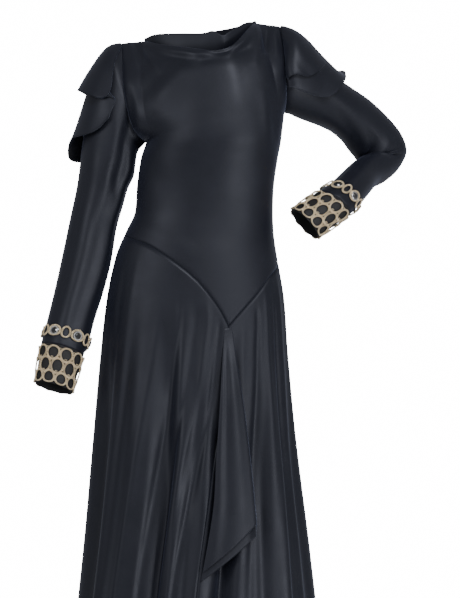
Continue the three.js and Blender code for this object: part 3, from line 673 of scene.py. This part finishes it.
SLEEVE_RINGS = {
    "right": table(
        "ox oz ix iz y depth",
        (-196, -23, -136, -226, 6, 56),
        (-220, -72, -141, -251, 6, 60),
        (-238, -140, -145, -276, 8, 60),
        (-249, -220, -157, -302, 10, 57),
        (-258, -290, -166, -334, 11, 54),
        (-272, -358, -179, -380, 8, 52),
        (-285, -425, -189, -446, -4, 50),
        (-297, -486, -203, -505, -18, 48),
        (-309, -542, -220, -562, -34, 46),
        (-319, -586, -231, -608, -47, 44),
        (-325, -612, -241, -634, -55, 43),
        (-334, -686, -262, -706, -76, 38),
    ),
    "left": table(
        "ox oz ix iz y depth",
        (172, 12, 168, -152, 6, 57),
        (195, -6, 184, -158, 18, 58),
        (222, -36, 208, -165, 37, 57),
        (254, -66, 232, -172, 58, 55),
        (292, -89, 256, -182, 80, 53),
        (333, -113, 278, -198, 104, 51),
        (374, -147, 294, -217, 128, 50),
        (403, -180, 306, -229, 146, 49),
        (415, -214, 312, -240, 153, 48),
        (404, -240, 306, -248, 144, 48),
        (382, -260, 296, -254, 126, 48),
        (354, -280, 284, -260, 102, 47),
        (332, -306, 266, -275, 68, 46),
        (308, -334, 245, -294, 34, 44),
        (282, -357, 218, -311, 4, 42),
        (222, -400, 171, -345, -24, 38),
    ),
}
SQUARE_SECTIONS = 4  # the first sections stay nearly square to the armhole
SECTION_LEAN = {"right": 1, "left": 0.5}  # how far sections turn with the arm's depth
CUFF_HEIGHT = 76


def section_frames(side):
    rings = SLEEVE_RINGS[side]
    outers = [Vector((ring["ox"], ring["y"], ring["oz"])) for ring in rings]
    inners = [Vector((ring["ix"], ring["y"], ring["iz"])) for ring in rings]
    middles = [(outer + inner) / 2 for outer, inner in zip(outers, inners)]
    frames = []
    for k, ring in enumerate(rings):
        wide = (outers[k] - inners[k]) / 2
        along = middles[min(k + 1, len(rings) - 1)] - middles[max(k - 1, 0)]
        along.y *= min((k + 1) / SQUARE_SECTIONS, 1) * SECTION_LEAN[side]
        front = along.cross(wide).normalized()
        if front.y > 0:
            front = -front
        frames.append({"middle": middles[k], "wide": wide, "front": front * ring["depth"]})
    return frames


FRAMES = {side: section_frames(side) for side in ("right", "left")}


def section_point(side, angle, section):
    if section <= 0:
        return armhole_point(side, angle)
    ring = FRAMES[side][min(section, len(FRAMES[side])) - 1]
    turned = math.radians(angle)
    return ring["middle"] + ring["wide"] * math.cos(turned) + ring["front"] * math.sin(turned)


def sleeve_point(side, angle, place):
    """A point of the sleeve's outer face. The armhole is place 0, and table row n is place n.
    Angle 0 is the shoulder side, 90 the front, 180 the underarm side and 270 the back."""
    k = int(clamp(math.floor(place), 0, len(FRAMES[side]) - 1))
    a, b, c, d = (section_point(side, angle, k + n) for n in (-1, 0, 1, 2))
    t = place - k
    slope_in = (c - a) / 2 - (c - b)
    slope_out = (d - b) / 2 - (c - b)
    return b.lerp(c, t) + (slope_in * (1 - t) - slope_out * t) * t * (1 - t)


def sleeve_normal(side, angle, place):
    near = min(place, len(FRAMES[side]) - 0.1)
    around = sleeve_point(side, angle + 4, near) - sleeve_point(side, angle - 4, near)
    along = sleeve_point(side, angle, near + 0.1) - sleeve_point(side, angle, max(near - 0.1, 0))
    normal = around.cross(along).normalized()
    outward = sleeve_point(side, angle, near) - sleeve_point(side, angle + 180, near)
    return -normal if normal.dot(outward) < 0 else normal


def place_above(side, above):
    """The place on the sleeve at a distance above its hem, along its middle."""
    rings = FRAMES[side]
    left = above
    for k in range(len(rings) - 1, 0, -1):
        step = (rings[k]["middle"] - rings[k - 1]["middle"]).length
        if left <= step:
            return k + 1 - left / step
        left -= step
    return 1.0


# Creases of each sleeve: (a, b) is (angle / 10, place)
SLEEVE_CREASES = {
    "right": table(
        "a0 b0 a1 b1 width lift",
        (12.0, 0.6, 13.5, 4.5, 1.3, -6.0),
        (10.0, 1.0, 10.5, 5.0, 1.1, 2.4),
        (15.5, 2.0, 14.0, 7.0, 1.3, 3.5),
        (11.6, 4.6, 10.2, 10.6, 1.4, -3.0),
        (8.4, 3.6, 7.9, 10.0, 1.8, 2.0),
        (4.6, 4.0, 4.8, 10.4, 1.6, -2.0),
        (13.8, 6.0, 12.6, 10.4, 1.4, 2.0),
        (27.0, 4.4, 23.0, 6.0, 1.0, -4.0),
        (30.0, 5.4, 24.0, 6.8, 1.0, 3.0),
    ),
    "left": table(
        "a0 b0 a1 b1 width lift",
        (16.5, 9.1, 9.0, 7.0, 0.42, -6.5),
        (15.0, 9.0, 6.5, 7.8, 0.40, 3.5),
        (16.0, 9.5, 4.0, 8.7, 0.26, -5.0),
        (14.5, 9.7, 4.5, 9.2, 0.24, 3.0),
        (16.5, 9.9, 3.5, 9.8, 0.24, -4.5),
        (14.0, 10.3, 5.0, 10.3, 0.30, 3.0),
        (9.0, 3.0, 14.0, 6.4, 1.2, -4.0),
        (7.0, 10.8, 9.0, 14.0, 1.2, 2.5),
        (11.0, 10.8, 11.5, 14.0, 1.2, -2.5),
        (28.0, 7.0, 22.0, 9.4, 1.0, -4.0),
        (31.0, 8.6, 22.0, 10.0, 1.0, 4.0),
    ),
}


def sleeve(side, columns, rows):
    end = place_above(side, CUFF_HEIGHT + SEAM_GAP)

    def point_at(u, v):
        point = sleeve_point(side, 360 * u, end * v)
        if v > 0:
            return point
        away = sleeve_point(side, 360 * u, end / rows) - point
        return point + away.normalized() * (SEAM_GAP + 0.1)

    def crease_at(u, v):
        return creases_at(SLEEVE_CREASES[side], 36 * u, end * v) * smoothstep(v, 0, 0.05)

    piece = cloth(f"sleeve_{side}_satin", columns, rows, point_at, closed=True, crease_at=crease_at)
    sew(piece, satin, f"sleeve_{side}")


sleeve("right", 96, 150)
sleeve("left", 96, 170)

# Flounces
# A satin flounce over each sleeve head, sewn into the armhole. It falls to a fold, tucks back
# under itself and falls again to its hem.

FLOUNCES = {
    "right": table(
        "top fold_angle fold fold_lift tuck_angle tuck tuck_lift end_angle end end_lift flare",
        (16, 72, 1.75, 12, 84, 1.5, 3, 84, 2.3, 8, 1.4),
        (10, 66, 2.05, 14, 72, 1.65, 3, 74, 2.9, 9, 1.6),
        (4, 54, 2.3, 16, 56, 1.85, 3.5, 60, 3.3, 10, 1.8),
        (-2, 34, 2.5, 18, 34, 2.0, 3.5, 38, 3.6, 13, 2),
        (-12, 6, 2.6, 24, 6, 2.05, 4, 8, 3.85, 22, 2),
        (-28, -22, 2.55, 22, -22, 2.0, 4, -22, 4.3, 27, 2),
        (-50, -50, 2.4, 18, -50, 1.9, 3.5, -50, 4.2, 14, 2),
        (-76, -78, 2.3, 20, -78, 1.8, 4, -78, 3.9, 18, 2),
        (-100, -104, 2.1, 14, -104, 1.7, 3, -104, 3.6, 8, 2),
    ),
    "left": table(
        "top fold_angle fold fold_lift tuck_angle tuck tuck_lift end_angle end end_lift flare",
        (84, 103, 0.5, 9, 97, 0.4, 2, 114, 0.55, 3, 0.8),
        (74, 96, 1.0, 13, 86, 0.85, 2.5, 113, 1.4, 5, 0.8),
        (62, 93, 1.6, 13, 82, 1.45, 2.5, 111, 2.2, 7, 0.8),
        (50, 87, 2.1, 11, 79, 2.05, 3, 105, 2.9, 8, 0.8),
        (36, 74, 2.5, 11, 72, 2.6, 3, 95, 3.4, 9, 0.8),
        (22, 54, 2.9, 9, 58, 3.05, 4.5, 78, 3.8, 9, 0.8),
        (8, 28, 3.3, 8, 32, 3.55, 8, 48, 4.2, 9, 0.7),
        (-8, 0, 3.6, 9, 3, 3.9, 9, 12, 4.5, 11, 0.6),
        (-32, -26, 3.4, 10, -25, 3.7, 11, -18, 4.5, 24, 0.7),
        (-58, -58, 2.4, 14, -58, 1.95, 3, -56, 3.8, 14, 1.6),
        (-86, -88, 1.9, 12, -88, 1.5, 2.5, -90, 3.0, 6, 1.6),
    ),
}
FLOUNCE_TOP = 0.16  # place of the sewn edge
# From the sleeve to the flounce's inner face, at the sewn edges and under them
FLOUNCE_CLEAR = {"right": 0.9, "left": 1.5, "below": 1.8}
FOLD_DROP = 0.5  # share of the way in to the tuck that the fold's edge falls
HEM_FLARE = 2.6
HEM_ROLL = {"lift": 0.6, "width": 0.014}
STAGE_ENDS = (0.0, 0.46, 0.50, 0.60, 1.0)  # of the sheet's rows: fold, its edge, tuck, hem


def flounce(side, columns, rows):
    by_place = [dict(row, at=n) for n, row in enumerate(FLOUNCES[side])]

    def point_at(u, v):
        row = row_at(by_place, "at", (len(by_place) - 1) * u)
        edge_lift = lerp(row["fold_lift"], row["tuck_lift"], FOLD_DROP)
        stops = (
            (row["top"], FLOUNCE_TOP, 0),
            (row["fold_angle"], row["fold"], row["fold_lift"]),
            (row["fold_angle"], row["fold"], edge_lift),
            (row["tuck_angle"], row["tuck"], row["tuck_lift"]),
            (row["end_angle"], row["end"], row["end_lift"]),
        )
        stage = sum(v > end for end in STAGE_ENDS[1:4])
        t = (v - STAGE_ENDS[stage]) / (STAGE_ENDS[stage + 1] - STAGE_ENDS[stage])
        start, stop = stops[stage : stage + 2]
        rise = (t ** row["flare"], t, t, t ** HEM_FLARE)[stage]
        angle = lerp(start[0], stop[0], math.sin(math.pi / 2 * t) if stage == 0 else t)
        place = lerp(start[1], stop[1], t)
        clear = WALL + lerp(FLOUNCE_CLEAR[side], FLOUNCE_CLEAR["below"], clamp(v / 0.1))
        out = sleeve_normal(side, angle, place) * (clear + lerp(start[2], stop[2], rise))
        return sleeve_point(side, angle, place) + out

    def rolled_hem(u, v):
        away = min(u, 1 - u, 1 - v) / HEM_ROLL["width"]
        return HEM_ROLL["lift"] * math.exp(-away * away)

    piece = cloth(f"flounce_{side}_satin", columns, rows, point_at, crease_at=rolled_hem)
    sew(piece, satin, f"flounce_{side}")


flounce("right", 100, 100)
flounce("left", 100, 100)

# Cuffs
# A band of black tulle over satin closes the end of each sleeve and carries the beaded net.
# Its own mesh weave shows between the rings.


def make_tulle():
    material, shader = new_material("black tulle", (0.006, 0.006, 0.007), 0.7)
    nodes = material.node_tree.nodes
    links = material.node_tree.links
    uv = nodes.new("ShaderNodeUVMap")
    uv.uv_map = "weave"
    mesh = nodes.new("ShaderNodeTexVoronoi")
    mesh.inputs["Scale"].default_value = 700
    links.new(uv.outputs["UV"], mesh.inputs["Vector"])
    shade = nodes.new("ShaderNodeValToRGB")
    shade.color_ramp.elements[0].color = (0.003, 0.003, 0.004, 1)
    shade.color_ramp.elements[1].color = (0.014, 0.014, 0.017, 1)
    links.new(mesh.outputs["Distance"], shade.inputs["Fac"])
    links.new(shade.outputs["Color"], shader.inputs["Base Color"])
    bump = nodes.new("ShaderNodeBump")
    bump.inputs["Strength"].default_value = 0.3
    bump.inputs["Distance"].default_value = 0.0002
    links.new(mesh.outputs["Distance"], bump.inputs["Height"])
    links.new(bump.outputs["Normal"], shader.inputs["Normal"])
    return material


tulle = make_tulle()


def cuff(side):
    start = place_above(side, CUFF_HEIGHT)
    end = len(FRAMES[side])

    def point_at(u, v):
        return sleeve_point(side, 360 * u, lerp(start, end, v))

    piece = cloth(f"cuff_{side}_band", 72, 20, point_at, closed=True)
    sew(piece, tulle, f"cuff_{side}")


cuff("right")
cuff("left")

# Beaded rings
# Each ring is three rows of small pale-gold beads, laid as if wound round a cord. A net of them covers
# the cuff, and above it a chain of rings and oval links goes round the sleeve, with a dark cut stone in
# each ring.

CORD_WIDTH = 4.2
CORD_RISE = 3.6
NET_TURNS = 10
NET_ROWS = 3
NET_ROW_PITCH = 22
NET_RING_HALF_HEIGHT = 12.5
CHAIN_TURNS = 6
CHAIN_ABOVE = 104
CHAIN_RING = {"share": 0.255, "half_height": 12}
CHAIN_LINK = {"share": 0.165, "half_height": 12.5}
NET_RING_SHARE = 0.45  # a ring's half width as a share of the pitch
NET_CLEAR = {"right": 0.75, "left": 1.2}
CHAIN_CLEAR = {"right": 0.8, "left": 1.8}
BEAD = 1.4  # radius
BEAD_PITCH = 1.72  # between beads, in bead radii
FLORET = {"petals": 6, "out": 2.6, "above": 11, "rise": 3.2, "size": 1.3, "arm": 40}
FLORET_TOP = NET_ROWS * NET_ROW_PITCH + 4
random.seed(8)


def make_gold():
    material, shader = new_material("pale gold beads", (0.83, 0.70, 0.48), 0.3, metallic=1.0)
    nodes = material.node_tree.nodes
    links = material.node_tree.links
    place = nodes.new("ShaderNodeTexCoord")
    wear = nodes.new("ShaderNodeTexNoise")
    wear.inputs["Scale"].default_value = 420
    links.new(place.outputs["Object"], wear.inputs["Vector"])
    shade = nodes.new("ShaderNodeMixRGB")
    shade.inputs["Color1"].default_value = (0.62, 0.47, 0.27, 1)
    shade.inputs["Color2"].default_value = (0.95, 0.86, 0.68, 1)
    links.new(wear.outputs["Fac"], shade.inputs["Fac"])
    links.new(shade.outputs["Color"], shader.inputs["Base Color"])
    gloss = nodes.new("ShaderNodeMapRange")
    gloss.inputs["To Min"].default_value = 0.2
    gloss.inputs["To Max"].default_value = 0.42
    links.new(wear.outputs["Fac"], gloss.inputs["Value"])
    links.new(gloss.outputs["Result"], shader.inputs["Roughness"])
    return material


gold = make_gold()


def on_sleeve(side, angle, above, rise):
    """A point that stands rise off the cloth, above the sleeve's hem."""
    place = place_above(side, above)
    return sleeve_point(side, angle, place) + sleeve_normal(side, angle, place) * rise


def arm_radius(side, above):
    place = place_above(side, above)
    chord = sleeve_point(side, 2, place) - sleeve_point(side, -2, place)
    return chord.length / 2 / math.radians(2)


def add_bead(bm, point, radius):
    moved = Matrix.Translation(point * MM) @ Matrix.Scale(radius * MM, 4)
    turned = Matrix.Rotation(random.uniform(0, math.pi), 4, "Z")
    bmesh.ops.create_icosphere(bm, subdivisions=1, radius=1.0, matrix=moved @ turned)


def add_ring(bm, side, angle, above, half_angle, half_height, clearance):
    """Beads wound round a ring that lies on the sleeve, in two rows and a raised one."""
    radius = arm_radius(side, above)
    width = math.radians(half_angle) * radius
    around = 2 * math.pi * math.sqrt((width * width + half_height * half_height) / 2)
    rows = (
        {"grow": -0.27, "rise": 0.40, "size": 0.82},
        {"grow": 0.27, "rise": 0.40, "size": 0.82},
        {"grow": 0.0, "rise": 1.05, "size": 0.95},
    )
    ring = bmesh.new()
    for row in rows:
        count = round(around / (BEAD_PITCH * BEAD * row["size"]))
        wider = row["grow"] * CORD_WIDTH
        stand = clearance + BEAD * (row["size"] + row["rise"])
        for n in range(count):
            turn = 2 * math.pi * (n + 0.5 * (row["grow"] > 0)) / count
            at = angle + (half_angle + math.degrees(wider / radius)) * math.cos(turn)
            height = above + (half_height + wider) * math.sin(turn)
            add_bead(ring, on_sleeve(side, at, height, stand), BEAD * row["size"])
    join(bm, ring)


def join(bm, small):
    mesh = bpy.data.meshes.new("joined")
    small.to_mesh(mesh)
    small.free()
    bm.from_mesh(mesh)
    bpy.data.meshes.remove(mesh)


def finish_beads(name, bm, replaced):
    for face in bm.faces:
        face.smooth = True
    mesh = bpy.data.meshes.new(name)
    bm.to_mesh(mesh)
    bm.free()
    piece = bpy.data.objects.new(name, mesh)
    bpy.context.collection.objects.link(piece)
    piece.data.materials.append(gold)
    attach(piece, "root")
    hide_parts(replaced)


def ring_net(side, clearance):
    bm = bmesh.new()
    pitch = 360 / NET_TURNS
    for row in range(NET_ROWS):
        above = CORD_WIDTH / 2 + NET_RING_HALF_HEIGHT + SEAM_GAP + row * NET_ROW_PITCH
        for n in range(NET_TURNS):
            at = (n + (row % 2) / 2) * pitch
            add_ring(bm, side, at, above, NET_RING_SHARE * pitch, NET_RING_HALF_HEIGHT, clearance)
            floret = bmesh.new()
            for k in range(FLORET["petals"] + 1):
                petal = 2 * math.pi * k / FLORET["petals"]
                out = 0 if k == FLORET["petals"] else FLORET["out"]
                spot = at + pitch / 2 + math.degrees(out * math.cos(petal) / FLORET["arm"])
                height = above + FLORET["above"] + out * math.sin(petal)
                if height < FLORET_TOP:
                    point = on_sleeve(side, spot, height, clearance + FLORET["rise"])
                    add_bead(floret, point, FLORET["size"])
            join(bm, floret)
    finish_beads(f"ring_net_{side}_beads", bm, f"ring_net_{side}")


def ring_chain(side, clearance):
    bm = bmesh.new()
    pitch = 360 / CHAIN_TURNS
    for n in range(CHAIN_TURNS):
        for shape, at in ((CHAIN_RING, n), (CHAIN_LINK, n + 0.5)):
            half_angle = shape["share"] * pitch
            add_ring(bm, side, at * pitch, CHAIN_ABOVE, half_angle, shape["half_height"], clearance)
    finish_beads(f"ring_chain_{side}_beads", bm, f"ring_chain_{side}")


for side, clearance in NET_CLEAR.items():
    ring_net(side, clearance)
for side, clearance in CHAIN_CLEAR.items():
    ring_chain(side, clearance)

# Stones
# A cut black glass stone in a thin silver rim sits inside every round ring of the chain.
# It is glued to the cloth.

STONE_RADIUS = 8.6
STONE_HEIGHT = 3.4
STONE_RISE = 0.9
RIM_RADIUS = STONE_RADIUS + 1
RIM_HEIGHT = 2.2
BEVEL = 0.25


def make_stone():
    material, shader = new_material("black cut glass", (0.010, 0.011, 0.014), 0.06)
    shader.inputs["Specular IOR Level"].default_value = 0.8
    shader.inputs["Coat Weight"].default_value = 0.6
    return material


black_glass = make_stone()
silver = new_material("silver rim", (0.78, 0.79, 0.82), 0.22, metallic=1.0)[0]


def cut_discs(name, side, clearance, material, radius, top_share, height, sides):
    """A low faceted cone inside each round ring of the chain."""
    bm = bmesh.new()
    for n in range(CHAIN_TURNS):
        angle = n * 360 / CHAIN_TURNS
        up = sleeve_normal(side, angle, place_above(side, CHAIN_ABOVE))
        centre = on_sleeve(side, angle, CHAIN_ABOVE, clearance + height / 2)
        turned = up.to_track_quat("Z", "Y").to_matrix().to_4x4()
        made = bmesh.ops.create_cone(
            bm, cap_ends=True, segments=sides, radius1=radius * MM, radius2=radius * top_share * MM,
            depth=height * MM, matrix=Matrix.Translation(centre * MM) @ turned,
        )
        bmesh.ops.bevel(
            bm, geom=list({edge for vert in made["verts"] for edge in vert.link_edges}),
            offset=BEVEL * MM, affect="EDGES", segments=1, profile=0.5, material=-1,
        )
    mesh = bpy.data.meshes.new(name)
    bm.to_mesh(mesh)
    bm.free()
    piece = bpy.data.objects.new(name, mesh)
    bpy.context.collection.objects.link(piece)
    piece.data.materials.append(material)
    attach(piece, "root")


for side, clearance in CHAIN_CLEAR.items():
    stand = clearance + STONE_RISE
    cut_discs(f"stones_{side}", side, stand, black_glass, STONE_RADIUS, 0.55, STONE_HEIGHT, 10)
    cut_discs(f"stone_rims_{side}", side, clearance, silver, RIM_RADIUS, 0.94, RIM_HEIGHT, 24)

# Studio
# A plain pale floor under the gown and three soft lights. The camera sees a bright white
# surround, and the gown is lit by a much weaker one.

FLOOR_SIZE = 2.2
FLOOR_GAP = 5  # under the hem
SURROUND = {"lighting": 0.3, "seen": 16.0}
SOFT_LIGHTS = table(
    "name place aim size power",
    ("key", (1.3, -3.0, 1.7), (0, 0, -0.2), 1.4, 84),
    ("fill", (-2.4, -2.6, 0.6), (0, 0, -0.6), 1.8, 36),
    ("low", (2.2, -2.4, -1.2), (0, 0, -1.1), 1.2, 40),
)
CAMERA_PLACE = (0.048, -4.0, -0.522)
CAMERA_LENS = 120.4

bm = bmesh.new()
bmesh.ops.create_grid(bm, x_segments=1, y_segments=1, size=FLOOR_SIZE)
bmesh.ops.translate(bm, verts=bm.verts, vec=(0, 0, -(HEM_DOWN + FLOOR_GAP) * MM))
floor_mesh = bpy.data.meshes.new("floor")
bm.to_mesh(floor_mesh)
bm.free()
floor = bpy.data.objects.new("floor", floor_mesh)
bpy.context.collection.objects.link(floor)
floor.data.materials.append(new_material("pale floor", (0.82, 0.82, 0.82), 0.9)[0])

world = bpy.data.worlds.new("white studio")
bpy.context.scene.world = world
world.use_nodes = True
surround = world.node_tree.nodes["Background"]
surround.inputs["Color"].default_value = (1, 1, 1, 1)
seen = world.node_tree.nodes.new("ShaderNodeLightPath")
strength = world.node_tree.nodes.new("ShaderNodeMapRange")
strength.inputs["To Min"].default_value = SURROUND["lighting"]
strength.inputs["To Max"].default_value = SURROUND["seen"]
world.node_tree.links.new(seen.outputs["Is Camera Ray"], strength.inputs["Value"])
world.node_tree.links.new(strength.outputs["Result"], surround.inputs["Strength"])


def soft_light(name, place, aim, size, power):
    data = bpy.data.lights.new(name, "AREA")
    data.shape = "DISK"
    data.size = size
    data.energy = power
    lamp = bpy.data.objects.new(name, data)
    lamp.location = place
    lamp.rotation_euler = (Vector(aim) - Vector(place)).to_track_quat("-Z", "Y").to_euler()
    bpy.context.collection.objects.link(lamp)


for light in SOFT_LIGHTS:
    soft_light(**light)

camera_data = bpy.data.cameras.new("camera")
camera_data.lens = CAMERA_LENS
camera = bpy.data.objects.new("camera", camera_data)
camera.location = CAMERA_PLACE
camera.rotation_euler = (math.radians(90), 0, 0)
bpy.context.collection.objects.link(camera)
bpy.context.scene.camera = camera
